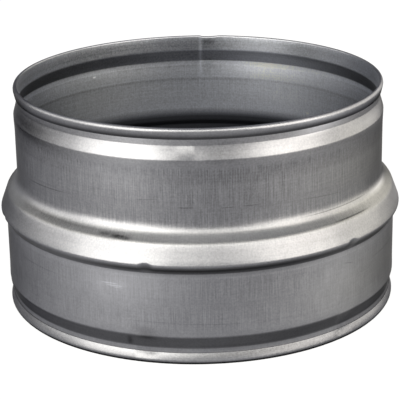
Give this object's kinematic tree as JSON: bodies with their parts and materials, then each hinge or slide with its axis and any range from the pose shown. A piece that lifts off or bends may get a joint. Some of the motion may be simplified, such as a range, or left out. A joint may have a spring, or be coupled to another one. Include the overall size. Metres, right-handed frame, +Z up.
{
  "type": "duct reducer",
  "caption": "Pressed galvanised steel duct reducer: two round spigots of different bore with a stop collar between them, grooved and hemmed at both open ends.",
  "frame": {"origin": "on the fitting's axis, at the level of the large end's lowest edge", "axes": "+Z up along the duct axis from the large end to the small end; +X and +Y are level, and the picture is taken from -Y"},
  "size_m": [0.1634, 0.1634, 0.0904],
  "materials": {
    "galvanised_steel": "satin zinc coat with fine drawing streaks along the wall"
  },
  "bodies": {
    "root": {"reducer_body": "galvanised_steel"}
  },
  "joints": []
}
